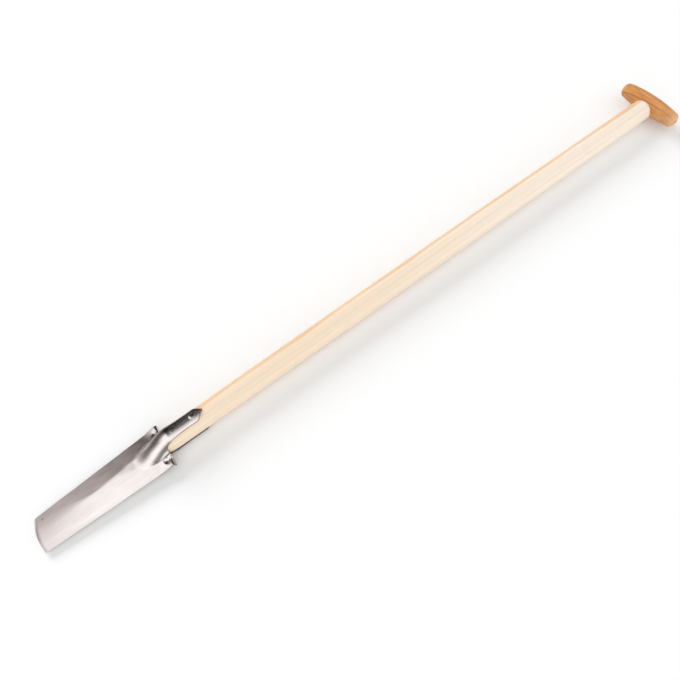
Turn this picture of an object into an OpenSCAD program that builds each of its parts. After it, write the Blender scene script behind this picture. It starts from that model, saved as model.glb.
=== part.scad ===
// Trenching spade: a narrow forged blade with an open strapped socket, a round ash shaft and a T-shaped grip.
// The spade lies face down along X, with its cutting edge at the low end and its grip at the high end.
// Heights are counted from the shaft's axis and lengths from the blade's shoulders, until it is put in place.

/* [Blade] */
// Length of the blade from the shoulders to the corners of the cutting edge
blade_len = 243; // [200:1:300]
// Width of the blade across the shoulders
shoulder_w = 80; // [74:1:100]
// Width of the blade across the cutting edge
edge_w = 64; // [54:1:80]
// How far the middle of the cutting edge stands out past its corners
edge_bow = 3; // [1:0.5:8]
// Thickness of the forged steel
plate_t = 2.8; // [2.2:0.1:3.4]
// Thickness left at the cutting edge
edge_t = 1; // [0.6:0.1:1.6]
// Width of the bevel ground along the cutting edge
bevel_w = 4; // [2:0.5:8]
// Width that the flat crown between the flanks would have at the shoulders
rib_w = 25; // [16:0.5:28]
// Distance below the shoulders at which the crown has narrowed to a ridge
rib_len = 130; // [100:1:180]
// How far the sides of the blade lie below its crown
side_drop = 8; // [4:0.5:10]
// Height of the blade's crown over the shaft's axis at the shoulders
crown_z = 1.6; // [0:0.1:2.4]
// How far the crown falls from the shoulders to the cutting edge
tip_drop = 7.4; // [4:0.2:12]

/* [Shoulders] */
// Outer bend radius of the treads turned over along the shoulders
tread_r = 5.5; // [4.5:0.5:7]
// Angle through which the treads are turned
tread_angle = 75; // [60:1:85]
// Straight lip past the bend of a tread
tread_lip = 3; // [1:0.5:5]
// Radius of the dimple pressed below each tread
dimple_r = 6.5; // [5:0.5:7]
// Depth of the dimples
dimple_depth = 2.6; // [1:0.1:3]

/* [Socket] */
// Length of the straps from the shoulders to their points
strap_len = 80.5; // [74:0.5:100]
// Width of the back strap
strap_w = 25; // [20:0.5:28]
// Width of the front strap
front_strap_w = 30; // [22:0.5:32]
// Length of the pointed end of a strap
gable_len = 14; // [10:0.5:18]
// Length of the neck that runs down into the blade below the shoulders
neck_len = 44; // [36:1:56]
// Clearance between the shaft, the straps and the flanges of the socket
socket_gap = 0.3; // [0.2:0.05:0.4]
// Width of the flange round the front strap's tongue
flange_w = 5; // [3:0.5:6]

/* [Rivets] */
// Diameter of the rivet shanks
rivet_d = 7; // [5:0.5:8]
// Diameter of the rivet heads
rivet_head_d = 11; // [9:0.5:12]
// Diameter of the countersunk rivet ends in the front strap
sink_d = 10; // [8.5:0.5:12]
// Distance of the lower rivet above the shoulders
low_rivet = 25; // [18:1:34]
// Distance of the upper rivet below the points of the straps
high_rivet = 19.5; // [17:0.5:28]

/* [Shaft] */
// Diameter of the shaft along its straight middle
shaft_d = 38; // [36.5:0.5:42]
// Diameter of the shaft inside the socket
socket_d = 37; // [35:0.2:38]
// Diameter of the shaft where it meets the grip
shaft_end_d = 34.6; // [33:0.2:38]
// Length over which the shaft swells above the straps
swell_len = 68; // [40:1:100]
// Length over which the shaft thins toward the grip
thin_len = 450; // [300:10:500]
// Diameter of the tenon that goes through the grip
tenon_d = 20; // [16:0.5:22]

/* [Grip] */
// Distance from the shoulders to the axis of the grip
reach = 969; // [850:1:1100]
// Length of the grip
grip_len = 112; // [100:1:150]
// Diameter of the grip at its middle
grip_d = 30.6; // [28:0.2:34]
// Distance from the axis of the grip to where the shaft starts to round off toward it
seat_depth = 17.5; // [15:0.5:20]
// Thickness of the wedge at its wide end
wedge_t = 4; // [3:0.5:5]
// Length of the wedge
wedge_len = 22; // [16:1:24]

/* [Hidden] */
$fn = 96;

// How far cuts run past the faces they open
overrun = 1;
// Softness of the lines between crown and flanks along the blade, and close to the cutting edge
crease_blade_r = 1.2;
crease_tip_r = 12;
// The lines stay crisp down to this share of the blade, where the bow of the cutting edge starts as well
crisp_share = 0.5;
// Rounded corner between the neck and the blade
neck_fillet = 5;
// The neck leaves the straight socket this far above the shoulders, and falls away by this power
neck_top = 20;
neck_power = 1.5;
// Length of the notch between the straps, the root and the power of its sides, and the power of the points
notch_len = 44;
notch_root = 0.25;
notch_power = 1.6;
gable_power = 0.95;
// Half angle left at the blunt point of a strap
point_angle = 3;
// Gap between the neck and the treads, the width they take to turn over in full, and the least turn worked with
tread_gap = 1;
tread_fade = 4;
least_turn_share = 0.001;
// Dimple centres, in from the sides of the blade and down from the shoulders
dimple_in = 13;
dimple_down = 11;
// Rivet heads: height of the dome above its spot face, depth of that face, and room round the shanks
rivet_dome_h = 1.6;
spot_depth = 0.8;
rivet_room = 0.15;
// The nose of the shaft inside the neck, and how far above the neck it starts to thin
nose_len = 26;
nose_lead = 6;
// Length over which the shaft's end would round off to nothing, and the bands of that dome
dome_len = 11;
dome_bands = 8;
// Thickness of the wedge at its narrow end
wedge_tip_t = 1.2;
// Room between the grip, the shaft and the wedge, and how far tenon and wedge stay under the grip's skin
tenon_gap = 0.2;
flush_gap = 0.3;
// The grip's ends: their share of the middle diameter, the share of the length that is rounded over,
// how far that closes the end, and the power by which the grip thins
grip_end_share = 0.66;
grip_round_share = 0.12;
grip_nose_share = 0.9;
grip_power = 2.2;
grip_bands = 24;

// Rows and columns of the forged sheets
bevel_rows = 2;
plate_rows = 9;
neck_rows = 20;
tread_rows = 5;
notch_rows = 7;
strap_rows = 3;
gable_rows = 4;
inner_cols = 7;
outer_cols = 10;
front_cols = 8;

shaft_r = shaft_d / 2;
socket_r = socket_d / 2;
socket_in_r = socket_r + socket_gap;
socket_out_r = socket_in_r + plate_t;
strap_angle = asin(strap_w / 2 / socket_out_r);
front_strap_angle = asin(front_strap_w / 2 / socket_out_r);
flank_angle = atan(side_drop / (shoulder_w - rib_w) * 2);
tread_arc = tread_r * tread_angle * PI / 180;
tread_start = -tread_r * sin(tread_angle) - tread_lip * cos(tread_angle);
notch_x = tread_start + tread_arc;
neck_end = -neck_len - neck_fillet;
spread_len = 2 * neck_len;
rivet_xs = [low_rivet, strap_len - high_rivet];
seat_x = reach - seat_depth;
middle_x = (reach + grip_d / 2 - blade_len - edge_bow) / 2;

// Share of the way from low to high, and the same with soft ends
function between(v, low, high) = min(max((v - low) / (high - low), 0), 1);
function ease(share) = share * share * (3 - 2 * share);
function mix(a, b, share) = a + (b - a) * share;
function steps(a, b, count) = [for (k = [1 : count]) mix(a, b, k / count)];

// The higher or lower of two heights, with the corner between them rounded over a width
function blend_max(a, b, width) =
    let (overlap = max(width - abs(a - b), 0))
    max(a, b) + overlap * overlap / (4 * width);
function blend_min(a, b, width) = -blend_max(-a, -b, width);

// Half the blade's width, and the height of its plain plate: a flat crown that narrows to a ridge, and two flanks
function half_width(x) = mix(shoulder_w, edge_w, -min(x, 0) / blade_len) / 2;
function rib_half(x) = rib_w / 2 * (1 - between(-x, 0, rib_len));
function crease_r(x) = mix(crease_blade_r, crease_tip_r, ease(between(-x / blade_len, crisp_share, 1)));
function flank_drop(x, y) =
    let (r = crease_r(x), flat = rib_half(x))
    side_drop * r / (half_width(x) - flat) * ln(1 + exp((y - flat) / r) + exp((-y - flat) / r));
function plate_z(x, y) = crown_z + tip_drop * x / blade_len - flank_drop(x, y);

// The half tube of the socket, which sinks into the plate below the shoulders
function neck_drop(x) = socket_out_r * pow(max(neck_top - x, 0) / (neck_top + neck_len), neck_power);
function tube_z(x, y, r) = sqrt(max(r * r - y * y, 0)) - neck_drop(x);
function dimple(x, y) =
    let (across = abs(y) - half_width(x) + dimple_in, along = x + dimple_down)
    dimple_depth * exp(-2 * (across * across + along * along) / (dimple_r * dimple_r));
function back_z(x, y) =
    blend_max(plate_z(x, y), tube_z(x, y, socket_out_r), neck_fillet) - dimple(x, y);
function front_z(x, y) =
    blend_min(plate_z(x, y) - plate_t / cos(flank_angle) - socket_gap, -tube_z(x, y, socket_in_r), neck_fillet);

// Half angle that a strap covers: wide at the notch, even along the strap, and down to a blunt point
function strap_half(x, half) =
    x < notch_x + notch_len
        ? mix(half, 90, pow(1 - pow(between(x, notch_x, notch_x + notch_len), notch_root), notch_power))
        : max(point_angle, half * pow(1 - between(x, strap_len - gable_len, strap_len), gable_power));
strap_xs = concat(
    [for (k = [1 : notch_rows]) notch_x + notch_len * pow(k / notch_rows, 1 / (2 * notch_root))],
    steps(notch_x + notch_len, strap_len - gable_len, strap_rows),
    steps(strap_len - gable_len, strap_len, gable_rows)
);

// Rows of the blade: up the bevel and the plate to the treads, round the treads, then up the back strap
plate_xs = concat(
    [-blade_len],
    steps(-blade_len, -blade_len + bevel_w, bevel_rows),
    steps(-blade_len + bevel_w, neck_end, plate_rows),
    steps(neck_end, tread_start, neck_rows)
);
tread_row = len(plate_xs) - 1;
lip_row = tread_row + tread_rows + 1;
last_row = lip_row + len(strap_xs);
blade_cols = 2 * (inner_cols + outer_cols);

// Columns of the blade: the inner ones are spaced round the socket and run on into the strap
function inner_edge(x) =
    x > notch_x
        ? socket_out_r * sin(strap_half(x, strap_angle))
        : mix(socket_out_r, half_width(x) / 2, ease(between(-x, 0, spread_len)));
function inner_angle(x) =
    x > notch_x ? strap_half(x, strap_angle) : mix(90, strap_angle, ease(between(-x, 0, spread_len)));
function column_y(x, j) =
    let (from_middle = j - blade_cols / 2, n = abs(from_middle), angle = inner_angle(x), edge = inner_edge(x))
    sign(from_middle) * (n <= inner_cols
        ? edge * sin(angle * n / inner_cols) / sin(angle)
        : mix(edge, half_width(x), (n - inner_cols) / outer_cols));

// How far a column is turned over at the treads, from none beside the neck to full
function turn_share(y) =
    ease(between(abs(y), socket_out_r + tread_gap, socket_out_r + tread_gap + tread_fade));
function bowed_x(x, y) =
    let (across = y / half_width(x))
    x - edge_bow * (1 - across * across) * ease(between(-x / blade_len, crisp_share, 1));
function plate_point(x, j) =
    let (y = column_y(x, j))
    [bowed_x(x, y), y, back_z(x, y)];
function tread_point(k, j) =
    let (
        run = tread_arc * min(k / tread_rows, 1),
        flat_x = tread_start + run,
        y = column_y(flat_x, j),
        turn = max(turn_share(y), least_turn_share),
        angle = turn * run / tread_r * 180 / PI,
        lip = k > tread_rows ? tread_lip * turn : 0,
        x = tread_start + tread_r / turn * sin(angle) + lip * cos(angle)
    )
    [x, y, back_z(x, y) - tread_r / turn * (1 - cos(angle)) - lip * sin(angle)];
function strap_point(x, j) =
    let (y = column_y(x, j))
    [x, y, tube_z(x, y, socket_out_r)];
function in_strap(j) = j >= outer_cols && j <= blade_cols - outer_cols;
function blade_point(i, j) =
    i <= tread_row ? plate_point(plate_xs[i], j)
    : i <= lip_row || !in_strap(j) ? tread_point(min(i, lip_row) - tread_row, j)
    : strap_point(strap_xs[i - lip_row - 1], j);

// Unit normal of a sheet of points at one of them, from the neighbours that are there
function normal_at(points, i, j, i_end, j_start, j_end) =
    let (
        along = points[min(i + 1, i_end)][j] - points[max(i - 1, 0)][j],
        across = points[i][min(j + 1, j_end)] - points[i][max(j - 1, j_start)],
        n = cross(along, across)
    )
    n / norm(n);

// Closed solid between two sheets of points, over the cells of the grid that are there
module sheet(upper, lower, is_there) {
    rows = len(upper);
    cols = len(upper[0]);
    below = rows * cols;
    at = function (i, j) i * cols + j;
    open = function (i, j) i < 0 || j < 0 || i > rows - 2 || j > cols - 2 || !is_there(i, j);
    wall = function (a, b) [[a, b, b + below], [a, b + below, a + below]];
    faces = [
        for (i = [0 : rows - 2], j = [0 : cols - 2])
            if (is_there(i, j))
                let (a = at(i, j), b = at(i, j + 1), c = at(i + 1, j + 1), d = at(i + 1, j))
                each concat(
                    [[a, b, c], [a, c, d], [below + c, below + b, below + a], [below + d, below + c, below + a]],
                    open(i - 1, j) ? wall(b, a) : [],
                    open(i + 1, j) ? wall(d, c) : [],
                    open(i, j - 1) ? wall(a, d) : [],
                    open(i, j + 1) ? wall(c, b) : []
                )
    ];
    polyhedron(concat([for (row = upper) each row], [for (row = lower) each row]), faces);
}

module in_place() translate([-middle_x, 0, socket_out_r]) children();
module along_x() rotate([0, 90, 0]) children();
module at_rivets() for (x = rivet_xs) translate([x, 0, 0]) children();

// Shank of a rivet from the front strap's skin up to its head, with the countersunk end and some room round both
module rivet_shank(room) {
    translate([0, 0, -socket_out_r]) {
        cylinder(h = 2 * socket_out_r - spot_depth, d = rivet_d + 2 * room);
        cylinder(h = plate_t / 2, d1 = sink_d + 2 * room, d2 = rivet_d + 2 * room);
    }
}

// Forged blade with its treads, dimples and neck, and the back strap drawn out of it
module blade() {
    skin = [for (i = [0 : last_row]) [for (j = [0 : blade_cols]) blade_point(i, j)]];
    normals = [for (i = [0 : last_row]) [for (j = [0 : blade_cols])
        i > lip_row && !in_strap(j)
            ? [0, 0, 1]
            : normal_at(
                skin, i, j,
                in_strap(j) ? last_row : lip_row,
                i > lip_row ? outer_cols : 0,
                i > lip_row ? blade_cols - outer_cols : blade_cols
            )]];
    function ground(i) =
        (plate_t - edge_t) * (i > tread_row ? 0 : 1 - between(plate_xs[i] + blade_len, 0, bevel_w));
    upper = [for (i = [0 : last_row]) skin[i] - ground(i) * normals[i]];
    lower = [for (i = [0 : last_row]) skin[i] - plate_t * normals[i]];
    color([0.74, 0.70, 0.68]) in_place() difference() {
        sheet(upper, lower, function (i, j) i < lip_row || (j >= outer_cols && j < blade_cols - outer_cols));
        at_rivets() {
            cylinder(h = socket_out_r + overrun, d = rivet_d + 2 * rivet_room);
            translate([0, 0, socket_out_r - spot_depth])
                cylinder(h = spot_depth + overrun, d = rivet_head_d + 2 * rivet_room);
        }
    }
}

// Front half of the socket: a strap above the shoulders, and below them a tongue with a flange on the blade
function tongue_half(x) =
    let (wide = sqrt(max(1 - pow(between(-x, 0, neck_len + flange_w), 2), 0)))
    mix(point_angle / 90 * socket_in_r, socket_in_r + flange_w * ease(between(-x, dimple_down, neck_len)), wide);
function front_angle(x) = x > notch_x ? strap_half(x, front_strap_angle) : 90;
function front_edge(x) = x > notch_x ? socket_in_r * sin(front_angle(x)) : tongue_half(x);
function front_point(x, j) =
    let (
        angle = front_angle(x),
        y = front_edge(x) * sin(angle * (j / front_cols - 1)) / sin(angle)
    )
    [x, y, front_z(x, y)];
front_xs = concat(
    [for (k = [neck_rows : -1 : 0]) notch_x - (neck_len + flange_w + notch_x) * sin(90 * k / neck_rows)],
    strap_xs
);
module front_strap() {
    rows = len(front_xs) - 1;
    cols = 2 * front_cols;
    skin = [for (x = front_xs) [for (j = [0 : cols]) front_point(x, j)]];
    lower = [for (i = [0 : rows]) [for (j = [0 : cols])
        skin[i][j] - plate_t * normal_at(skin, i, j, rows, 0, cols)]];
    color([0.66, 0.62, 0.60]) in_place() difference() {
        sheet(skin, lower, function (i, j) true);
        at_rivets() {
            rivet_shank(rivet_room);
            translate([0, 0, -socket_out_r - overrun]) cylinder(h = overrun, d = sink_d + 2 * rivet_room);
        }
    }
}

// Rivets through both straps and the shaft: low domed heads on the back, ends filed flush in front
module strap_rivets() {
    head_z = socket_out_r - spot_depth;
    dome_r = (rivet_head_d * rivet_head_d / 4 + rivet_dome_h * rivet_dome_h) / (2 * rivet_dome_h);
    color([0.60, 0.57, 0.55]) in_place() at_rivets() {
        intersection() {
            rivet_shank(0);
            along_x() cylinder(h = 2 * rivet_head_d, r = socket_out_r - flush_gap, center = true);
        }
        intersection() {
            translate([0, 0, head_z]) cylinder(h = rivet_dome_h + overrun, d = rivet_head_d);
            translate([0, 0, head_z + rivet_dome_h - dome_r]) sphere(r = dome_r);
        }
    }
}

// The grip's turned barrel, with its skin set in by a given depth
function grip_r(share) =
    grip_d / 2 * (1 - (1 - grip_end_share) * pow(abs(share), grip_power))
        * sqrt(1 - grip_nose_share * pow(between(abs(share), 1 - grip_round_share, 1), 2));
module barrel(inset) {
    half = grip_len / 2;
    shares = [for (k = [-grip_bands : grip_bands]) sin(90 * k / grip_bands)];
    translate([reach, 0, 0]) rotate([90, 0, 0]) rotate_extrude()
        polygon(concat([[0, -half]], [for (s = shares) [grip_r(s) - inset, s * half]], [[0, half]]));
}
module tenon_top(d) {
    intersection() {
        translate([reach, 0, 0]) along_x() cylinder(h = grip_d, d = d);
        barrel(flush_gap);
    }
}
module wedge_shape(room) {
    low_x = reach + grip_d / 2 - wedge_len;
    high_x = reach + grip_d / 2;
    translate([0, 0, -tenon_d / 2]) linear_extrude(tenon_d)
        polygon([
            [low_x - room, -wedge_tip_t / 2 - room],
            [high_x, -wedge_t / 2 - room],
            [high_x, wedge_t / 2 + room],
            [low_x - room, wedge_tip_t / 2 + room]
        ]);
}

// Ash shaft: flattened nose in the neck, swelling above the straps, thinning to a domed end with a tenon.
// The domed end is scooped out as a saddle for the grip.
module shaft() {
    nose_top = neck_top + nose_lead;
    nose_run = nose_top + nose_len;
    nose_angle = atan((neck_drop(-nose_len) + plate_t) / nose_run);
    color([0.93, 0.84, 0.72]) in_place() difference() {
        union() {
            difference() {
                along_x() rotate_extrude() polygon(concat(
                    [
                        [0, nose_top],
                        [socket_r, nose_top],
                        [socket_r, strap_len],
                        [shaft_r, strap_len + swell_len],
                        [shaft_r, seat_x - thin_len]
                    ],
                    [for (k = [0 : dome_bands])
                        let (angle = 90 * k / dome_bands)
                        [shaft_end_d / 2 * cos(angle), seat_x + dome_len * sin(angle)]]
                ));
                barrel(-tenon_gap);
            }
            intersection() {
                translate([-nose_len, 0, 0]) along_x() cylinder(h = nose_run, r = socket_r);
                translate([nose_top, 0, 0]) rotate([0, nose_angle, 0]) along_x()
                    cylinder(h = 2 * (nose_run + socket_d), r = socket_in_r, center = true);
                translate([nose_top, 0, 0]) rotate([0, -nose_angle, 0]) along_x()
                    cylinder(h = 2 * (nose_run + socket_d), r = socket_in_r, center = true);
            }
            translate([seat_x - tenon_d, 0, 0]) along_x() cylinder(h = tenon_d + seat_depth, d = tenon_d);
            tenon_top(tenon_d);
        }
        at_rivets() cylinder(h = 2 * socket_out_r, d = rivet_d + 2 * rivet_room, center = true);
        wedge_shape(tenon_gap);
    }
}

// Turned grip with a mortise right through
module grip() {
    color([0.80, 0.55, 0.33]) in_place() difference() {
        barrel(0);
        translate([reach, 0, 0]) along_x() cylinder(h = 2 * grip_d, d = tenon_d + 2 * tenon_gap, center = true);
    }
}

// Wedge driven into the end of the tenon, trimmed flush with it
module grip_wedge() {
    color([0.62, 0.42, 0.25]) in_place() intersection() {
        wedge_shape(0);
        union() {
            translate([seat_x, 0, 0]) along_x() cylinder(h = seat_depth, d = tenon_d);
            tenon_top(tenon_d);
        }
    }
}

blade();
front_strap();
strap_rivets();
shaft();
grip();
grip_wedge();
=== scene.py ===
import bmesh
import bpy
import numpy as np
from mathutils import Matrix, Vector


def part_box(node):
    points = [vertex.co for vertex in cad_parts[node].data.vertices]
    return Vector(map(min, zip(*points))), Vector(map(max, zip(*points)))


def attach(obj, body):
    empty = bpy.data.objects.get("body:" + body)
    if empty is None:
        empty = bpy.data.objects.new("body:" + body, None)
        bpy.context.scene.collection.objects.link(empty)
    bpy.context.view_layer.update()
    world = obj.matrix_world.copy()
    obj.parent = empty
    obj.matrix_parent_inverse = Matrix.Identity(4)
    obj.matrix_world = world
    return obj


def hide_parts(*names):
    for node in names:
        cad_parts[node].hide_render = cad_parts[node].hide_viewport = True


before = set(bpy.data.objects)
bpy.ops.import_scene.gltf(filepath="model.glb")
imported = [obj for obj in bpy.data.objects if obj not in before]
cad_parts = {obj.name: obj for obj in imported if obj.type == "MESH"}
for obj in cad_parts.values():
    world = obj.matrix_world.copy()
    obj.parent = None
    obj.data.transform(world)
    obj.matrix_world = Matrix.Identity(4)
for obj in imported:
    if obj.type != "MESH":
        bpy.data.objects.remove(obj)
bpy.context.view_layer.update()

# Blade and back strap. One carbon steel forging, ground bright: a dished plate with a crown down its back,
# treads turned over at the shoulders with a dimple below each, and the back strap drawn up out of the neck.
# Sizes are in millimetres, lengths from the shoulders and heights from the shaft's axis.
MM = 0.001
blade_len = 243.0
shoulder_w = 80.0
edge_w = 64.0
edge_bow = 3.0
plate_t = 2.8
edge_t = 1.0
bevel_w = 4.0
rib_w = 25.0
rib_len = 130.0
side_drop = 8.0
crown_z = 1.6
tip_drop = 7.4
crease_blade_r = 1.4
crease_tip_r = 12.0
crisp_share = 0.5
tread_r = 5.5
tread_angle = np.radians(75)
tread_lip = 3.0
tread_gap = 1.0
tread_fade = 4.0
dimple_r = 6.5
dimple_depth = (2.9, 1.2)
dimple_in = 13.0
dimple_down = 8.5
socket_in_r = 18.8
socket_out_r = socket_in_r + plate_t
strap_len = 80.5
strap_plain_x = 8.0
strap_w = 25.0
strap_angle = np.arcsin(strap_w / 2 / socket_out_r)
gable_len = 14.0
gable_power = 0.95
point_angle = np.radians(3)
notch_len = 44.0
notch_root = 0.25
notch_power = 1.6
neck_len = 44.0
neck_top = 14.0
neck_power = 1.5
neck_fillet = 9.0
edge_round = 0.9
hammer_mark = 0.10
edge_rows = (0, 0.06, 0.2, 0.45, 0.8, 1.3, 2.0, 3.0)
point_rows = (0.95, 0.7, 0.48, 0.28, 0.12, 0.03, 0.0)
fine_len = 62.0
forge_pit = (-227.8, 20.6)
forge_pit_r = (0.6, 2.6)
neck_shade_x = (-60.0, 25.0)
satin_x = -120.0
# Painted shade on the far side of the neck and strap: where it starts and ends, and the crest it covers.
painted_shade_start_x = (-62.0, -45.0)
painted_shade_end_x = (12.0, 40.0)
shaded_crest_x = (-38.0, 0.0)
shaded_crest_y = (12.0, 19.0)
scratch_scale = (9, 800, 800)
stroke_scale = (7, 120, 120)
cloud_scale = (28, 50, 50)
steel_bright = (0.93, 0.875, 0.86)
steel_dark = (0.78, 0.715, 0.695)
neck_brown = (0.42, 0.37, 0.35)
# Near black of the painted shade on the far side of the neck and strap.
painted_shade_black = (0.11, 0.095, 0.09)
# Rim colour: partly scale, partly painted shade along the edges.
rim_scale_and_shade = (0.13, 0.105, 0.09)
pit_brown = (0.16, 0.13, 0.12)
reach = 969.0
tread_arc = tread_r * tread_angle
tread_start = -tread_r * np.sin(tread_angle) - tread_lip * np.cos(tread_angle)
notch_x = tread_start + tread_arc
shoulder_x = sum(corner.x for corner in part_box("grip")) / 2 / MM - reach
axis_z = sum(corner.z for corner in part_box("shaft")) / 2 / MM


def share(value, low, high):
    """How far a value is on the way from low to high, held between 0 and 1."""
    return np.clip((value - low) / (high - low), 0, 1)


def ease(part):
    """The same share with soft ends: three squares less two cubes."""
    return part * part * (3 - 2 * part)


def mix(a, b, part):
    """The value a share of the way from a to b."""
    return a + (b - a) * part


def blend_max(a, b, width):
    """The higher of two heights, plus a quarter parabola where they lie closer than a width."""
    return np.maximum(a, b) + np.maximum(width - np.abs(a - b), 0) ** 2 / (4 * width)


def half_width(x):
    """Half the blade's width: a straight taper from the shoulders to the cutting edge."""
    return mix(shoulder_w, edge_w, -np.minimum(x, 0) / blade_len) / 2


def plate_z(x, y):
    """Height of the plain plate: a crown that falls toward the edge, less a flank from each of its sides.

    A flank is a soft ramp, the logarithm of a sum of exponentials, whose corner is wider near the edge.
    """
    soft = mix(crease_blade_r, crease_tip_r, ease(share(-x / blade_len, crisp_share, 1)))
    flat = rib_w / 2 * (1 - share(-x, 0, rib_len))
    ramp = np.logaddexp(np.logaddexp(0, (y - flat) / soft), (-y - flat) / soft)
    return crown_z + tip_drop * x / blade_len - side_drop * soft / (half_width(x) - flat) * ramp


def neck_drop(x):
    """How far the socket's tube has sunk below the axis: a power of the depth below the neck's top."""
    return socket_out_r * (np.maximum(neck_top - x, 0) / (neck_top + neck_len)) ** neck_power


def tube_z(x, y, radius):
    """Height of a half tube about the shaft's axis, sunk as the neck is."""
    return np.sqrt(np.maximum(radius * radius - y * y, 0)) - neck_drop(x)


def hammered(x, y):
    """Hammer marks left under the grinding: products of bent waves that cross at odd angles."""
    lengthwise = np.sin(0.103 * x + 0.9 * np.sin(0.134 * y + 0.4))
    sidewise = np.cos(0.165 * y + 0.8 * np.sin(0.076 * x))
    crosswise = np.sin(0.21 * x + 0.17 * y + 1.1) * np.sin(0.09 * x - 0.26 * y)
    return hammer_mark * (lengthwise * sidewise + 0.5 * crosswise)


def back_z(x, y):
    """Height of the blade's back: plate and tube run together, less the dimples and the hammer marks."""
    across = np.abs(y) - half_width(x) + dimple_in
    off_centre = across ** 2 + (x + dimple_down) ** 2
    pressed = np.where(y < 0, *dimple_depth) * np.exp(-2 * off_centre / dimple_r ** 2)
    return blend_max(plate_z(x, y), tube_z(x, y, socket_out_r), neck_fillet) - pressed - hammered(x, y)


def strap_half(x, half):
    """Half angle that a strap covers: 90 degrees in the notch, then even, then down to a blunt point."""
    left_over = 1 - share(x, notch_x, notch_x + notch_len) ** notch_root
    gable = (1 - share(x, strap_len - gable_len, strap_len)) ** gable_power
    return np.maximum(mix(half, np.pi / 2, left_over ** notch_power) * gable, point_angle)


def normals(grid):
    """Unit normals of a grid of points: the cross product of its two directions of travel."""
    n = np.cross(np.gradient(grid, axis=0), np.gradient(grid, axis=1))
    return n / np.maximum(np.linalg.norm(n, axis=-1, keepdims=True), 1e-12)


def facing(height, x, y):
    """Unit normals of a height over x and y: its two slopes, from differences over a short step."""
    step = 0.05
    slope_x = (height(x + step, y) - height(x - step, y)) / (2 * step)
    slope_y = (height(x, y + step) - height(x, y - step)) / (2 * step)
    n = np.stack([-slope_x, -slope_y, 1 + 0 * slope_y], -1)
    return n / np.linalg.norm(n, axis=-1, keepdims=True)


def to_rim(grid, *edges):
    """Distance from each point of a grid to the nearest point on a sheet's free edges."""
    rim = np.concatenate([edge.reshape(-1, 3) for edge in edges])
    return np.stack([np.linalg.norm(row[:, None] - rim, axis=-1).min(axis=1) for row in grid])


def quads(rows, cols):
    """The four corners of each face of a grid of points, by number."""
    index = np.arange(rows * cols).reshape(rows, cols)
    return np.stack([index[:-1, :-1], index[1:, :-1], index[1:, 1:], index[:-1, 1:]], -1).reshape(-1, 4)


def mark(mesh, name, values):
    """Keeps a value for each point of a mesh as an attribute."""
    attribute = mesh.attributes.new(name, "FLOAT", "POINT")
    attribute.data.foreach_set("value", np.ascontiguousarray(values, np.float32))


def piece(name, patches, finish, slot, *nodes):
    """A closed mesh from patches of points in millimetres, that stands for CAD nodes and rides on the body.

    Each patch is (points, turned over or not, values of the rim attribute). Points that meet are merged.
    The lean attribute is how far a point of the finished mesh faces across the tool.
    """
    faces = []
    rims = []
    start = 0
    for points, turned, rim in patches:
        rows, cols = points.shape[:2]
        ring = start + quads(rows, cols)
        faces.append(ring[:, ::-1] if turned else ring)
        rims.append(np.broadcast_to(rim, (rows, cols)).ravel())
        start += rows * cols
    points = np.concatenate([patch[0].reshape(-1, 3) for patch in patches])
    mesh = bpy.data.meshes.new(name)
    mesh.from_pydata((points + (shoulder_x, 0, axis_z)) * MM, [], np.concatenate(faces))
    mark(mesh, "rim", np.concatenate(rims))
    work = bmesh.new()
    work.from_mesh(mesh)
    bmesh.ops.remove_doubles(work, verts=work.verts, dist=0.001 * MM)
    work.to_mesh(mesh)
    work.free()
    mesh.polygons.foreach_set("use_smooth", np.ones(len(mesh.polygons), bool))
    outward = np.empty(3 * len(mesh.vertices), np.float32)
    mesh.vertex_normals.foreach_get("vector", outward)
    mark(mesh, "lean", outward[1::3])
    mesh.materials.append(finish)
    made = bpy.data.objects.new(name, mesh)
    bpy.context.scene.collection.objects.link(made)
    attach(made, "root")
    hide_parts(*nodes)


def spread(low, high, count, *rest):
    """Steps from low up to high, followed by any further places that are listed."""
    return np.concatenate([np.linspace(low, high, count), rest])


def mirrored(half):
    """Columns on both sides of the middle, from those of one side that start at zero."""
    return np.concatenate([-half[:0:-1], half])


def sheet(skin, out, distance, ground=0.0):
    """The two faces of a sheet as patches: its skin, ground down or not, and the same a thickness below.

    Near the rim they draw in along a quarter ellipse and meet, which rounds the edge.
    """
    near = 1 - share(distance, 0, edge_round)
    drawn = (plate_t - ground) / 2 * (1 - np.sqrt(1 - near * near))
    rim = 1 - share(distance, 0, 3 * edge_round)
    upper = skin - (ground + drawn)[..., None] * out
    lower = skin - (plate_t - drawn)[..., None] * out
    return [(upper, False, rim), (lower, True, rim)]


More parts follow.
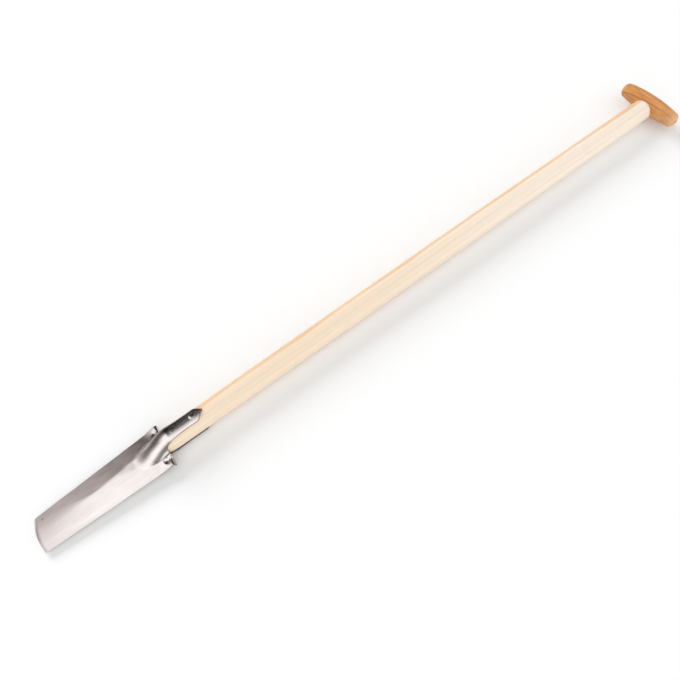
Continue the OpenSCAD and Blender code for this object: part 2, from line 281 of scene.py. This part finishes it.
class Field:
    """One output of a shader node. Arithmetic on it adds Math nodes to the same tree."""

    def __init__(self, socket):
        self.socket = socket
        self.tree = socket.id_data

    def add(self, kind, settings=(), inputs=(), output=0):
        """A new node: its settings are set first, then values or links go to its sockets."""
        made = self.tree.nodes.new("ShaderNode" + kind)
        for name, value in dict(settings).items():
            setattr(made, name, value)
        for key, value in dict(inputs).items():
            if isinstance(value, Field):
                self.tree.links.new(value.socket, made.inputs[key])
            else:
                made.inputs[key].default_value = value
        return Field(made.outputs[output])

    def math(self, operation, other=0.0):
        return self.add("Math", {"operation": operation}, {0: self, 1: other})

    def __add__(self, other):
        return self.math("ADD", other)

    def __sub__(self, other):
        return self.math("SUBTRACT", other)

    def __mul__(self, other):
        return self.math("MULTIPLY", other)

    def __rsub__(self, other):
        return self.add("Math", {"operation": "SUBTRACT"}, {0: other, 1: self})

    __radd__ = __add__
    __rmul__ = __mul__

    def axis(self, number):
        """One coordinate of a place: 0 along the shaft, 1 across it, 2 up."""
        return self.add("SeparateXYZ", {}, {0: self}, number)

    def stretched(self, scale):
        """A place with each coordinate scaled, so that a noise on it is drawn out the other way."""
        return self.add("Mapping", {}, {"Vector": self, "Scale": scale})

    def noise(self, detail, rough, warp=0.0):
        """A cloudy noise from 0 to 1 at a place."""
        sizes = {"Vector": self, "Scale": 1.0, "Detail": detail, "Roughness": rough, "Distortion": warp}
        return self.add("TexNoise", {}, sizes)

    def ramp(self, low, high):
        """0 where the value is low, 1 where it is high, and soft in between."""
        ends = {"Value": self, "From Min": low, "From Max": high}
        return self.add("MapRange", {"interpolation_type": "SMOOTHSTEP"}, ends)

    def ramp_mm(self, low, high):
        """The same for a coordinate, between two lengths in millimetres."""
        return self.ramp(low * MM, high * MM)

    def attribute(self, name):
        """A value kept with the points of the mesh."""
        return self.add("Attribute", {"attribute_name": name}, output="Fac")

    def tint(self, under, over):
        """A colour that goes from one to another as this value goes from 0 to 1."""
        under, over = [side if isinstance(side, Field) else (*side, 1) for side in (under, over)]
        return self.add("Mix", {"data_type": "RGBA"}, {0: self, 6: under, 7: over}, 2)

    def bump(self, strength, distance):
        """A normal bent by this value as a height."""
        return self.add("Bump", {}, {"Strength": strength, "Distance": distance, "Height": self})


def new_finish(name):
    """A new material with its shader, and the place on the object as a field."""
    finish = bpy.data.materials.new(name)
    finish.use_nodes = True
    place = Field(finish.node_tree.nodes.new("ShaderNodeTexCoord").outputs["Object"])
    return finish, finish.node_tree.nodes["Principled BSDF"].inputs, place


def feed(sockets, **fields):
    """Links fields to a shader's sockets, named with _ for each space."""
    for name, field in fields.items():
        field.tree.links.new(field.socket, sockets[name.replace("_", " ")])


def along(x, low, high):
    """0 below one length from the shoulders and 1 above another, soft in between."""
    return x.ramp_mm(shoulder_x + low, shoulder_x + high)


def forged_steel(name, bright, dark, black):
    """Forged steel, brushed along its length and satin low on the blade, smoother and browner up the neck.

    Long thin noise makes the brushing and broad noise the cloudy grinding. The rims are darkened, partly as
    scale and partly as painted shade along the edges, most up the neck. The side of the neck and strap that
    faces away across the tool is tinted near black as painted shade, and there is a forging pit near the
    edge.
    """
    finish, sockets, place = new_finish(name)
    x = place.axis(0)
    scratches = place.stretched(scratch_scale).noise(4.0, 0.65)
    strokes = place.stretched(stroke_scale).noise(3.0, 0.6)
    clouds = place.stretched(cloud_scale).noise(3.0, 0.55, 0.4)
    neck = along(x + 0.03 * (clouds - 0.5), *neck_shade_x)
    low = 1 - along(x, -blade_len, satin_x)
    brushed = (0.5 * strokes + 0.3 * scratches + 0.35 * clouds).ramp(0.38, 0.80)
    pit_centre = ((shoulder_x + forge_pit[0]) * MM, forge_pit[1] * MM, 0)
    flat_place = place.stretched((1, 1, 0))
    from_pit = place.add("VectorMath", {"operation": "DISTANCE"}, {0: flat_place, 1: pit_centre}, "Value")
    pitted = (0.6 - 0.6 * from_pit.ramp_mm(*forge_pit_r)).tint(brushed.tint(dark, bright), pit_brown)
    browned = (0.18 * neck).tint(pitted, neck_brown)
    lean = place.attribute("lean")
    # Painted shade: the neck and strap are tinted near black on the side that faces away across the tool.
    shaded_crest = lean.ramp(-0.16, 0.10) * along(x, *shaded_crest_x) * (1 - place.axis(1).ramp_mm(*shaded_crest_y))
    shaded_side = shaded_crest.math("MAXIMUM", lean.ramp(0.26, 0.50))
    # scale here is the mask of that painted shade along the neck and strap.
    scale = shaded_side * along(x, *painted_shade_start_x) * (1 - along(x, *painted_shade_end_x))
    # The rims darken, partly as scale and partly as painted shade along the edges, most up the neck and
    # strap.
    rim = (0.2 + 0.7 * neck) * place.attribute("rim").ramp(0.35, 0.95)
    feed(
        sockets,
        Base_Color=rim.tint((0.85 * scale).tint(browned, painted_shade_black), black),
        Roughness=0.21 + 0.10 * scratches + 0.08 * clouds + 0.12 * low - 0.12 * neck,
        Normal=((scratches + 0.8 * strokes) * (1 - 0.8 * neck)).bump(0.10, 0.2 * MM),
    )
    sockets["Metallic"].default_value = 1.0
    return finish


inner_half = mirrored(spread(0, 0.93, 22, 0.945, 0.96, 0.973, 0.984, 0.992, 0.997, 1.0))
outer_half = spread(0, 0.95, 24, 0.962, 0.974, 0.984, 0.992, 0.997, 1.0)[1:]
inner_part = np.concatenate([np.full(len(outer_half), -1.0), inner_half, np.full(len(outer_half), 1.0)])
outer_part = np.concatenate([-outer_half[::-1], np.zeros(len(inner_half)), outer_half])
first_inner = len(outer_half)
last_inner = first_inner + len(inner_half)

plate_x = -blade_len + np.concatenate([
    edge_rows,
    np.linspace(bevel_w, blade_len - fine_len, 46),
    np.linspace(blade_len - fine_len + 1, blade_len + tread_start, 70)[:-1],
])
arc_x = tread_start + tread_arc * spread(0, 0.88, 14, 0.91, 0.94, 0.965, 0.98, 0.99, 1.0)


def column_y(x):
    """Places across the blade: evenly round the socket inside the neck, and evenly out to the sides."""
    part = ease(share(-x, 0, 2 * neck_len))
    edge = mix(socket_out_r, half_width(x) / 2, part)
    angle = mix(np.pi / 2, strap_angle, part)
    round_socket = edge * np.sin(angle * inner_part) / np.sin(angle)
    return round_socket + (half_width(x) - edge) * outer_part


def rolled(flat_x, lip):
    """The plate with its treads rolled over: each column follows a bend that fades out by the neck.

    Past the bend a straight lip follows, which fades out with it. Columns beside the neck stay flat.
    """
    y = column_y(flat_x)
    turn = ease(share(np.abs(y), socket_out_r + tread_gap, socket_out_r + tread_gap + tread_fade))
    bend_r = tread_r / np.maximum(turn, 1e-6)
    angle = np.maximum(flat_x - tread_start, 0) / bend_r
    x = np.minimum(flat_x, tread_start) + bend_r * np.sin(angle) + lip * turn * np.cos(angle)
    z = back_z(x, y) - bend_r * (1 - np.cos(angle)) - lip * turn * np.sin(angle)
    bow = edge_bow * (1 - (y / half_width(x)) ** 2) * ease(share(-x / blade_len, crisp_share, 1))
    return np.stack([x - bow, y, z], -1)


body_x = np.concatenate([plate_x, arc_x])[:, None]
body = rolled(body_x, 0.0)
body_out = normals(body)

lip_run = tread_lip * spread(0, 0.7, 5, 0.8, 0.88, 0.94, 0.98, 1.0)[:, None]
lip = rolled(notch_x + 0 * lip_run, lip_run)
lip_out = normals(np.concatenate([body[-2:-1], lip]))[1:]
lip_out[0] = body_out[-1]
lip_out = np.where(np.linalg.norm(lip_out, axis=-1, keepdims=True) < 0.5, body_out[-1], lip_out)

strap_x = np.concatenate([
    notch_x + notch_len * np.linspace(0, 1, 36) ** 2,
    np.linspace(notch_x + notch_len, strap_len - gable_len, 8)[1:],
    strap_len - gable_len * np.linspace(0.93, 0.1, 14),
    strap_len - np.array(point_rows),
])[:, None]
strap_y = socket_out_r * np.sin(strap_half(strap_x, strap_angle) * inner_half)


def strap_top(x, y):
    """Height of the back strap: the blade's back at the notch, eased into the plain tube above it."""
    return mix(back_z(x, y), tube_z(x, y, socket_out_r), ease(share(x, notch_x, strap_plain_x)))


strap = np.stack([strap_x + 0 * strap_y, strap_y, strap_top(strap_x, strap_y)], -1)
strap_out = facing(strap_top, strap_x, strap_y)
inner = slice(first_inner, last_inner)
strap[0] = body[-1, inner]
strap_out[0] = body_out[-1, inner]

left = slice(0, first_inner + 1)
right = slice(last_inner - 1, None)
rims = [body[0], body[:, 0], body[:, -1], lip[:, 0], lip[:, -1], lip[-1, left], lip[-1, right]]
rims += [strap[:, 0], strap[:, -1], strap[-1]]
body_ground = (plate_t - edge_t) * (1 - share(body_x + blade_len, 0, bevel_w)) + 0 * body[..., 0]
lip_rim = to_rim(lip, *rims)
piece(
    "forged_blade",
    sheet(body, body_out, to_rim(body, *rims), body_ground)
    + sheet(lip[:, left], lip_out[:, left], lip_rim[:, left])
    + sheet(lip[:, right], lip_out[:, right], lip_rim[:, right])
    + sheet(strap, strap_out, to_rim(strap, *rims)),
    forged_steel("forged_steel", steel_bright, steel_dark, rim_scale_and_shade),
    "forged_steel", "blade",
)

# Front strap. The other half of the socket, of the same steel, forged and coloured darker than the back,
# partly as fire scale and partly as painted shade for its dim underside: a strap along the front of the
# shaft, and a tongue that is fire-welded to the blade's hollow front.
flange_w = 5.0
front_strap_w = 30.0
front_strap_angle = np.arcsin(front_strap_w / 2 / socket_out_r)
flank_angle = np.arctan(side_drop / (shoulder_w - rib_w) * 2)
weld_gap = 0.3
tongue_fillet = 5.0
tongue_narrow = 11.0
tongue_tip_half = 1.0
tongue_end = -neck_len - flange_w
# Darker than the back's steel: partly fire scale, partly painted shade for the underside.
front_shaded_bright = (0.62, 0.57, 0.55)
front_shaded_dark = (0.45, 0.41, 0.39)
front_rim_scale_and_shade = (0.10, 0.085, 0.08)


def front_z(x, y):
    """Height of the front strap's inner face: the lower of the plate's hollow and the tube, blended."""
    hollow = plate_z(x, y) - plate_t / np.cos(flank_angle) - weld_gap
    return -blend_max(-hollow, tube_z(x, y, socket_in_r), tongue_fillet)


def tongue_half(x):
    """Half width of the tongue: a half ellipse, with a flange eased in below the dimples."""
    wide = np.sqrt(np.maximum(1 - share(-x, 0, -tongue_end) ** 2, 0))
    return mix(tongue_tip_half, socket_in_r + flange_w * ease(share(-x, tongue_narrow, neck_len)), wide)


tongue_x = notch_x + (tongue_end - notch_x) * np.sin(np.linspace(np.pi / 2, 0, 60))[:, None]
tongue_y = tongue_half(tongue_x) * np.sin(np.pi / 2 * inner_half)
front_x = np.concatenate([tongue_x[:-1], strap_x])
front_turn = strap_half(strap_x, front_strap_angle) * inner_half
front_y = np.concatenate([tongue_y[:-1], socket_in_r * np.sin(front_turn)])
front = np.stack([front_x + 0 * front_y, front_y, front_z(front_x, front_y)], -1)
front_rim = to_rim(front, front[0], front[-1], front[:, 0], front[:, -1])
piece(
    "front_half_strap",
    sheet(front, facing(front_z, front_x, front_y), front_rim),
    forged_steel("forged_steel_front", front_shaded_bright, front_shaded_dark, front_rim_scale_and_shade),
    "forged_steel", "front_strap",
)

# Rivets. Two mild steel rivets through both straps and the shaft, each with a low head hammered into a spot
# face on the back strap and an end filed flush with the front strap.
rivet_d = 7.0
rivet_head_d = 11.0
sink_d = 10.0
rivet_x = (25.0, strap_len - 19.5)
dome_h = (0.05, 0.42)
dome_power = 1.2
head_depth = 1.2
proud = 0.03
filed_w = 0.2
rivet_bright = (0.86, 0.81, 0.79)
rivet_dark = (0.70, 0.64, 0.62)
turns = np.linspace(0, 2 * np.pi, 65)
sin_turn = np.sin(turns)
cos_turn = np.cos(turns)
dome_part = np.linspace(0, 1, 14)
rivet_end = [
    (rivet_head_d / 2, 1, -head_depth), (rivet_d / 2, 1, -head_depth), (rivet_d / 2, -1, head_depth),
    (sink_d / 2, -1, proud), (sink_d / 2 - filed_w, -1, -proud), (0, -1, -proud),
]


def rivet(x, dome):
    """A rivet whose head and end follow the round of the straps.

    Each ring of its profile stands a step off the skin of the back or front strap. The head is a low dome.
    """
    rise = proud + dome * (1 - dome_part ** 2) ** dome_power
    head = np.stack([rivet_head_d / 2 * dome_part, 0 * dome_part + 1, rise], -1)
    radius, way, step = np.concatenate([head, rivet_end]).T[..., None]
    y = radius * sin_turn
    z = way * np.sqrt(socket_out_r ** 2 - y ** 2) + step
    return np.stack([x + radius * cos_turn, y, z], -1)


piece(
    "hammered_rivets",
    [(rivet(x, dome), False, 0.0) for x, dome in zip(rivet_x, dome_h)],
    forged_steel("rivet_steel", rivet_bright, rivet_dark, rim_scale_and_shade),
    "rivet_steel", "strap_rivets",
)

# Shaft. A round ash pole, turned and sanded: it is thinned to go between the straps, swells above them,
# thins again toward the grip, and ends in a rounded saddle with a tenon through the grip.
shaft_r = 19.0
socket_r = 18.5
shaft_end_r = 17.3
swell_len = 68.0
swell_rows_end = 200.0
thin_len = 450.0
dome_len = 11.0
dome_rows_len = 6.0
saddle_search = 4.0
seat_x = reach - 17.5
tenon_r = 10.0
tenon_proud = 0.05
tenon_round = 0.6
nose_len = 26.0
nose_top = 26.0
nose_flat = 0.99
nose_narrow = 0.15
grip_half = 56.0
grip_r = 15.3
grip_thin_share = 0.34
grip_power = 2.2
grip_round_share = 0.12
saddle_gap = 0.2
ash_sway_scale = (2.2, 9, 9)
ash_streak_scale = (5, 210, 210)
ash_pore_scale = (60, 1500, 1500)
far_streak_scale = (6, 40, 40)
ring_w = 7.5
ring_sway = 12.0
far_streak_y = (1.09, 8.18)
far_streak_z = (-8.0, 9.0)
far_streak_wander = 14.545
pale_x = (219.15, 869.15)
sawn_x = (reach + 3.0, reach + 5.0)
ash_cream = (0.94, 0.765, 0.585)
ash_pale = (0.965, 0.845, 0.715)
ash_far_orange = (0.80, 0.505, 0.28)
ash_sawn = (0.74, 0.53, 0.33)
ash_ring = (0.80, 0.55, 0.33)
ash_pore = (0.60, 0.38, 0.21)


def barrel_r(y):
    """Radius of the grip along it: thinner by a power toward the ends, which are quarter ellipses."""
    part = np.minimum(np.abs(y) / grip_half, 1)
    round_off = np.sqrt(np.maximum(1 - share(part, 1 - grip_round_share, 1) ** 2, 0))
    return grip_r * (1 - grip_thin_share * part ** grip_power) * round_off


def pole_r(x):
    """Radius of the shaft: eased steps between its thin, full and grip ends, then an elliptic dome."""
    swell = mix(socket_r, shaft_r, ease(share(x, strap_len, strap_len + swell_len)))
    thin = mix(0, shaft_r - shaft_end_r, ease(share(x, seat_x - thin_len, seat_x)))
    return (swell - thin) * np.sqrt(np.maximum(1 - share(x, seat_x, seat_x + dome_len) ** 2, 0))


def barrel_front(y, z):
    """Place along the shaft of the grip's near side, less the gap at the saddle."""
    return reach - np.sqrt(np.maximum((barrel_r(y) + saddle_gap) ** 2 - z * z, 0))


def rings(x, radius):
    """Rings about the shaft's axis: a place along it and a radius, carried round a circle."""
    return np.stack(np.broadcast_arrays(x + 0 * turns, radius * sin_turn, radius * cos_turn), -1)


saddle_x = np.full(len(turns), seat_x - saddle_search)
past_x = np.full(len(turns), seat_x + dome_len)
for halving in range(40):
    middle = (saddle_x + past_x) / 2
    radius = pole_r(middle)
    clear = middle < barrel_front(radius * sin_turn, radius * cos_turn)
    saddle_x = np.where(clear, middle, saddle_x)
    past_x = np.where(clear, past_x, middle)

pole_x = np.concatenate([
    np.linspace(nose_top, strap_len, 8)[:-1],
    np.linspace(strap_len, swell_rows_end, 24)[:-1],
    np.linspace(swell_rows_end, seat_x - dome_rows_len, 90),
])[:, None]
dome_x = mix(pole_x[-1], saddle_x, np.sin(np.linspace(0, 1, 18)[1:, None] * np.pi / 2))
face_r = mix(pole_r(saddle_x), tenon_r, np.linspace(0, 1, 8)[1:, None])
face_x = barrel_front(face_r * sin_turn, face_r * cos_turn)
tip_r = tenon_r * np.concatenate([(1.0, 0.99, 0.96), np.linspace(0.9, 0, 10)])[:, None]
tip_depth = tenon_round * np.array((1.0, 0.3, 0.05) + (0.0,) * 10)[:, None] - tenon_proud
tip_x = reach + np.sqrt((barrel_r(tip_r * sin_turn) - tip_depth) ** 2 - (tip_r * cos_turn) ** 2)
nose_part = np.linspace(1, 0, 14)[:, None]
nose_x = nose_top - (nose_top + nose_len) * nose_part
squeeze = np.minimum(1, 1 - (neck_drop(nose_x) / socket_r) * nose_flat)
nose = rings(nose_x, socket_r)
nose[..., 1] *= 1 - nose_narrow * nose_part ** 2
nose[..., 2] *= squeeze
shaft_rows = np.concatenate([
    rings(np.full((1, 1), -nose_len), 0.0),
    nose[:-1],
    rings(pole_x, pole_r(pole_x)),
    rings(dome_x, pole_r(dome_x)),
    rings(face_x, face_r),
    rings(tip_x, tip_r),
])


def ash_wood():
    """Pale ash: growth rings about a far pith cut along the pole, pores as fine dashes, and warm streaks.

    An orange streak runs along the upper far side of the pole, and the sawn end is browner.
    """
    finish, sockets, place = new_finish("ash_wood")
    x, y, z = [place.axis(number) for number in range(3)]
    sway = place.stretched(ash_sway_scale).noise(2.0, 0.5)
    far = y * 0.85 + z * 0.5 + ring_sway * MM * sway
    ring = ((far * (2 * np.pi / (ring_w * MM))).math("SINE") * 0.5 + 0.5).ramp(0.35, 1.0)
    streaks = place.stretched(ash_streak_scale).noise(3.0, 0.6)
    pores = place.stretched(ash_pore_scale).noise(2.0, 0.5).ramp(0.60, 0.74)
    wander = place.stretched(far_streak_scale).noise(2.0, 0.6) - 0.5
    far_streak_side = (y + far_streak_wander * MM * wander).ramp_mm(*far_streak_y)
    far_streak_top = (z + ring_sway * MM * (sway - 0.5)).ramp_mm(axis_z + far_streak_z[0], axis_z + far_streak_z[1])
    wood = along(x, *pale_x).tint(ash_cream, ash_pale)
    sawn = along(x, *sawn_x).tint(wood, ash_sawn)
    warm = (0.88 * (far_streak_side * far_streak_top)).tint(sawn, ash_far_orange)
    grained = (0.32 * ring * streaks.ramp(0.3, 0.75)).tint(warm, ash_ring)
    feed(
        sockets,
        Base_Color=(0.26 * pores).tint(grained, ash_pore),
        Roughness=0.42 + 0.10 * streaks + 0.12 * pores,
        Normal=(streaks * 0.5 - pores).bump(0.10, 0.2 * MM),
    )
    sockets["Coat Weight"].default_value = 0.06
    sockets["Coat Roughness"].default_value = 0.30
    return finish


piece("ash_shaft", [(shaft_rows, False, 0.0)], ash_wood(), "ash_wood", "shaft")

# Grip. A short barrel of redder hardwood, turned between centres and bored through for the shaft's tenon;
# the lathe's centre has left a small pit in each end.
pit_r = 1.6
pit_depth = 1.2
pit_share = 0.9
first_line = -8.4
band_w = 16.5
band_lean = 0.054
band_sway = 2.2
end_pale_len = (12.0, 1.0)
sap_y = (12.0, 50.0)
grip_sway_scale = (40, 9, 40)
grip_streak_scale = (500, 20, 500)
grip_broad_scale = (150, 14, 150)
grip_pore_scale = (1400, 90, 1400)
grip_brown = (0.52, 0.205, 0.062)
grip_red = (0.76, 0.365, 0.125)
grip_line = (0.36, 0.12, 0.03)
grip_pale = (0.80, 0.47, 0.23)
grip_pore = (0.27, 0.09, 0.03)
pit_shade_dark = (0.16, 0.06, 0.025)
grip_s = np.sin(np.linspace(-np.pi / 2, np.pi / 2, 121))[:, None]
grip_radius = barrel_r(grip_half * grip_s)
pit = np.exp(-(grip_radius / pit_r) ** 2) * (np.abs(grip_s) > pit_share)
grip_y = grip_half * grip_s - np.sign(grip_s) * pit_depth * pit
grip_rows = np.stack([reach + grip_radius * cos_turn, grip_y + 0 * turns, grip_radius * sin_turn], -1)


def grip_wood():
    """Red-brown hardwood: wide flat-sawn growth bands across the bore, each with a dark line, and pores.

    The ends and one half are paler, the pores are dots on the ends, and the lathe's pits are painted dark
    as shade.
    """
    finish, sockets, place = new_finish("grip_wood")
    y = place.axis(1)
    sway = place.stretched(grip_sway_scale).noise(2.0, 0.5)
    bent = band_lean * y + band_sway * MM * (sway - 0.5)
    depth = place.axis(0) - (shoulder_x + reach + first_line) * MM + bent
    in_band = (depth * (1 / (band_w * MM)) + 0.5).math("FRACT")
    line = 1 - (in_band - 0.5).math("ABSOLUTE").ramp(0.0, 0.09)
    streaks = place.stretched(grip_streak_scale).noise(3.0, 0.6)
    broad = place.stretched(grip_broad_scale).noise(2.0, 0.5)
    pores = place.stretched(grip_pore_scale).noise(2.0, 0.5).ramp(0.58, 0.72)
    end = y.math("ABSOLUTE").ramp_mm(grip_half - end_pale_len[0], grip_half - end_pale_len[1])
    sap = (0 - y).ramp_mm(*sap_y)
    streaked = (0.6 * streaks + 0.4 * broad).ramp(0.32, 0.68).tint(grip_brown, grip_red)
    lined = (0.6 * line).tint(streaked, grip_line)
    ended = (0.55 * end + 0.25 * sap).tint(lined, grip_pale)
    pored = ((0.35 + 0.3 * end) * pores).tint(ended, grip_pore)
    feed(
        sockets,
        # Painted shade: the lathe's pits are tinted dark.
        Base_Color=place.attribute("rim").tint(pored, pit_shade_dark),
        Roughness=0.40 + 0.12 * streaks + 0.12 * pores,
        Normal=(streaks * 0.4 - pores).bump(0.12, 0.2 * MM),
    )
    sockets["Coat Weight"].default_value = 0.08
    sockets["Coat Roughness"].default_value = 0.25
    return finish


piece("turned_grip", [(grip_rows, False, pit)], grip_wood(), "grip_wood", "grip")

# Wedge. A sliver of dark hardwood, driven into a saw cut in the tenon and trimmed flush with the grip.
# Its end stands less than a tenth of a millimetre proud, so that it shows in the end of the tenon.
wedge_half = 2.0
wedge_tip_half = 0.6
wedge_z = 9.7
wedge_len = 22.0
wedge_proud = 0.09
wedge_scale = (60, 900, 900)
wedge_dark = (0.24, 0.11, 0.045)
wedge_light = (0.42, 0.22, 0.10)
wedge_low = reach + grip_r - wedge_len
wedge_y = np.linspace(-wedge_half, wedge_half, 9)
wedge_rows = np.linspace(-wedge_z, wedge_z, 33)[:, None]
wedge_end = reach + np.sqrt((barrel_r(wedge_y) + wedge_proud) ** 2 - wedge_rows ** 2)
wedge_tip = np.broadcast_to((wedge_low, wedge_low), (len(wedge_rows), 2))
wedge_x = np.concatenate([wedge_end, wedge_tip, wedge_end[:, :1]], axis=1)
wedge_across = np.concatenate([wedge_y, (wedge_tip_half, -wedge_tip_half, -wedge_half)])
wedge_loops = np.stack([wedge_x, wedge_across + 0 * wedge_x, wedge_rows + 0 * wedge_x], -1)
wedge_caps = [wedge_loops[end].mean(axis=0) + 0 * wedge_loops[:1] for end in (0, -1)]
wedge_patch = np.concatenate([wedge_caps[0], wedge_loops, wedge_caps[1]])


def wedge_wood():
    """Dark hardwood with its grain along the shaft."""
    finish, sockets, place = new_finish("wedge_wood")
    streaks = place.stretched(wedge_scale).noise(3.0, 0.6)
    feed(
        sockets,
        Base_Color=streaks.ramp(0.25, 0.75).tint(wedge_dark, wedge_light),
        Roughness=0.45 + 0.15 * streaks,
        Normal=streaks.bump(0.1, 0.2 * MM),
    )
    return finish


piece("driven_wedge", [(wedge_patch, True, 0.0)], wedge_wood(), "wedge_wood", "grip_wedge")

# Stage. A wide pale paper floor under plain soft studio light: a white room that is brighter on the near
# side, a broad lamp some 29 degrees up on the far side for the shadow, and a screen arched over the tool,
# bright overhead and dark beyond it, that is seen only as it mirrors in the steel.
floor_half = 12.0
floor_z = -0.0001
floor_corners = [(x * floor_half, y * floor_half, floor_z) for x, y in ((-1, -1), (1, -1), (1, 1), (-1, 1))]
paper_grey = (0.86, 0.86, 0.86)
paper_glow = (0.10, 0.10, 0.10)
card_r = 5.0
card_lean = np.radians(np.linspace(-91, 91, 92))[:, None]
card_turn = np.radians(np.linspace(-89, 89, 90))
card_points = card_r * np.stack([
    np.sin(card_turn) + 0 * card_lean,
    np.cos(card_turn) * np.sin(card_lean),
    np.cos(card_turn) * np.cos(card_lean),
], -1)
card_white = (1.25, 1.25, 1.25)
card_grey = (0.19, 0.18, 0.18)
card_brown = (0.50, 0.44, 0.415)
card_black = (0.055, 0.045, 0.042)
room_dark = (0.25, 0.25, 0.25)
room_white = (1.24, 1.24, 1.24)
lamp_energy = 2.26
lamp_angle = np.radians(36)
lamp_place = Vector((-0.1, 2.0, 1.1))
black = (0, 0, 0)
white = (1, 1, 1)


def seen(place):
    """1 for rays from the camera, off a mirror or through glass, and 0 for rays that light the scene."""
    names = ("Is Camera Ray", "Is Glossy Ray", "Is Transmission Ray")
    camera_ray, mirror_ray, glass_ray = [place.add("LightPath", output=name) for name in names]
    return camera_ray.math("MAXIMUM", mirror_ray).math("MAXIMUM", glass_ray)


def stage_piece(name, points, faces, finish):
    """A mesh that belongs to the stage."""
    mesh = bpy.data.meshes.new(name)
    mesh.from_pydata(points, [], faces)
    mesh.materials.append(finish)
    made = bpy.data.objects.new(name, mesh)
    bpy.context.scene.collection.objects.link(made)
    return made


paper, paper_sockets, paper_place = new_finish("pale_paper")
paper_sockets["Base Color"].default_value = (*paper_grey, 1)
paper_sockets["Roughness"].default_value = 0.9
paper_sockets["Specular IOR Level"].default_value = 0.0
paper_sockets["Emission Strength"].default_value = 1.0
feed(paper_sockets, Emission_Color=seen(paper_place).tint(black, paper_glow))
stage_piece("floor", floor_corners, [(0, 1, 2, 3)], paper)

shade, shade_sockets, shade_place = new_finish("graded_card")
shade_sockets["Base Color"].default_value = (*black, 1)
shade_sockets["Specular IOR Level"].default_value = 0.0
shade_sockets["Emission Strength"].default_value = 1.0
west = shade_place.axis(0) * (-1 / card_r)
north = shade_place.axis(1) * (1 / card_r)
window = west.ramp(0.30, 0.38) * (1 - 0.8 * west.ramp(0.58, 0.72))
far_part = west.ramp(0.34, 0.60) * (1 - 0.7 * west.ramp(0.62, 0.78))
near_part = (0.22 * west.ramp(0.25, 0.50) - north).ramp(0.64, 0.92)
beyond = ((north - 0.70 * window) * (1 + 3 * window)).ramp(-0.46, 0.28)
shade_near = near_part.tint(card_white, card_grey)
shade_far = far_part.tint(card_black, card_brown)
feed(shade_sockets, Emission_Color=beyond.tint(shade_near, shade_far))
shade.cycles.emission_sampling = "NONE"
card = stage_piece("far_card", card_points.reshape(-1, 3), quads(*card_points.shape[:2]), shade)
card.visible_camera = False
card.visible_diffuse = False
card.visible_transmission = False
card.visible_shadow = False

world = bpy.data.worlds.new("studio")
world.use_nodes = True
sky = Field(world.node_tree.nodes.new("ShaderNodeTexCoord").outputs["Generated"])
room = (0 - sky.axis(1)).ramp(-0.6, 0.7).tint(room_dark, room_white)
feed(world.node_tree.nodes["Background"].inputs, Color=seen(sky).tint(room, white))
bpy.context.scene.world = world

lamp = bpy.data.lights.new("far_side", "SUN")
lamp.energy = lamp_energy
lamp.angle = lamp_angle
far_side = bpy.data.objects.new("far_side", lamp)
far_side.location = lamp_place
far_side.rotation_euler = (-lamp_place).to_track_quat("-Z", "Y").to_euler()
far_side.visible_camera = False
far_side.visible_glossy = False
bpy.context.scene.collection.objects.link(far_side)

# Camera. It stands where the photograph was taken from, as a perspective fit of the tool's outlines gave:
# a place, a direction of view and an upward direction, with the focal length in pixels of the photograph.
photo_px = 680
focal_px = 647.04
camera_place = (-0.11867, -0.53870, 0.90644)
look = Vector((0.06611, 0.49786, -0.86473)).normalized()
up = Vector((0.57289, 0.69061, 0.44142)).normalized()
sideways = look.cross(up).normalized()
view_turn = Matrix((sideways, sideways.cross(look), -look)).transposed().to_4x4()
eye = bpy.data.cameras.new("eye")
eye.sensor_width = 36.0
eye.lens = focal_px * eye.sensor_width / photo_px
camera = bpy.data.objects.new("eye", eye)
camera.matrix_world = Matrix.Translation(camera_place) @ view_turn
bpy.context.scene.collection.objects.link(camera)
bpy.context.scene.camera = camera
bpy.context.scene.view_settings.view_transform = "Standard"
